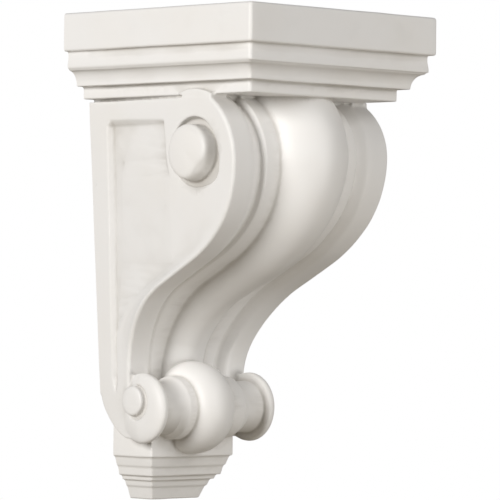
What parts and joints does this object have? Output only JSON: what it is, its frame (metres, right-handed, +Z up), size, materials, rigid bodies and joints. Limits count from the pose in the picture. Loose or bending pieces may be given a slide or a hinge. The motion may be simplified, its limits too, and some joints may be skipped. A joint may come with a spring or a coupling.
{
  "type": "corbel",
  "caption": "Wall corbel with a moulded square cap, ribbed scroll front, side volutes, a turned roll with a central bead and a stepped pendant foot.",
  "frame": {"origin": "on the flat back, at the middle of the width and at half the height, where the corbel is fixed to the wall", "axes": "+Z up, +Y out of the flat back into the wall, so the scroll front faces -Y; X across the width"},
  "size_m": [0.165, 0.1651, 0.3048],
  "materials": {
    "cast_stone": "smooth off-white matt casting"
  },
  "bodies": {
    "root": {"corbel": "cast_stone"}
  },
  "joints": []
}
